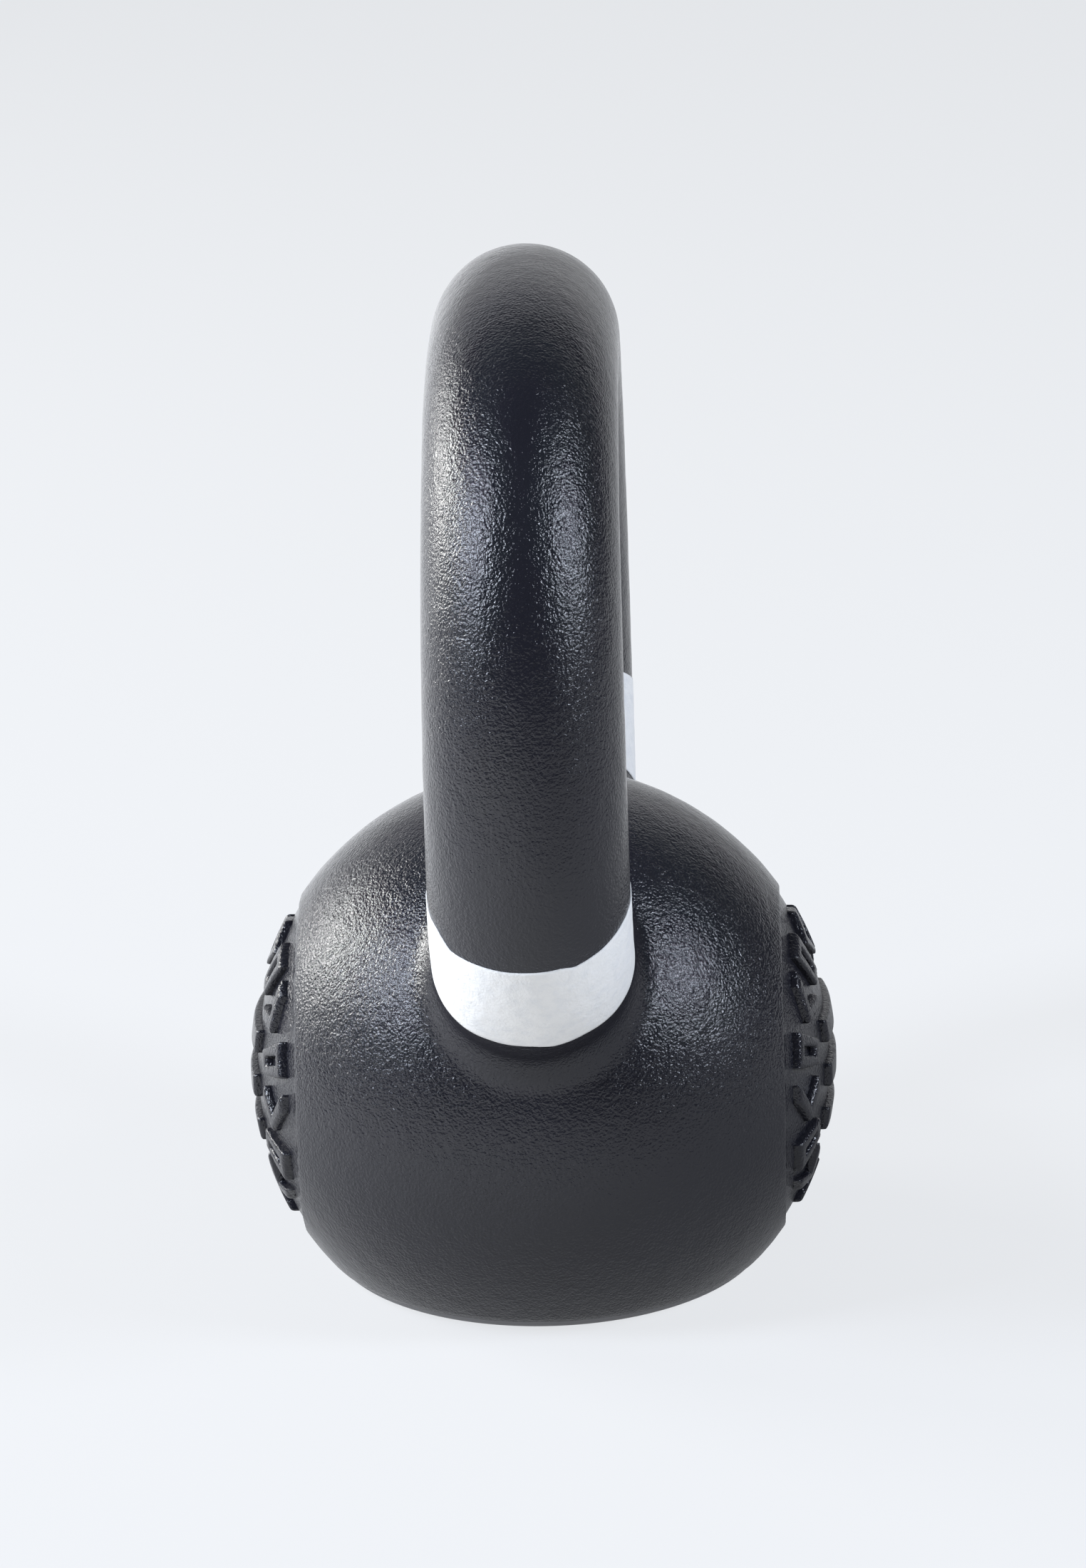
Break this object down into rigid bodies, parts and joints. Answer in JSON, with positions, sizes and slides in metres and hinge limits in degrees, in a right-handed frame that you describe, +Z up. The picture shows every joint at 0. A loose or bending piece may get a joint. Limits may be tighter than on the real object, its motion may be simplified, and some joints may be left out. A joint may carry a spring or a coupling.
{
  "type": "kettlebell",
  "caption": "Cast iron exercise weight: a flat-based ball with a thick looped handle, satin black powder coat, white painted bands at the handle roots and raised marks on two faces",
  "frame": {"origin": "centre of the bounding box at the bottom, which is the middle of the flat base", "axes": "+Z up through the handle, X along the handle's grip, Y through the window; the front face looks along -Y and the two handle legs stand at -X and +X"},
  "size_m": [0.158, 0.106, 0.1835],
  "materials": {
    "cast_iron": "bare grey cast iron, ground flat on the base",
    "powder_coat": "satin black powder coat with a fine orange-peel grain",
    "band_paint": "matte white paint, masked by hand"
  },
  "bodies": {
    "root": {"iron_bell": "cast_iron", "iron_handle": "cast_iron", "powder_coat": "powder_coat", "marks_front": "powder_coat", "marks_back": "powder_coat", "band_left": "band_paint", "band_right": "band_paint"}
  },
  "joints": []
}
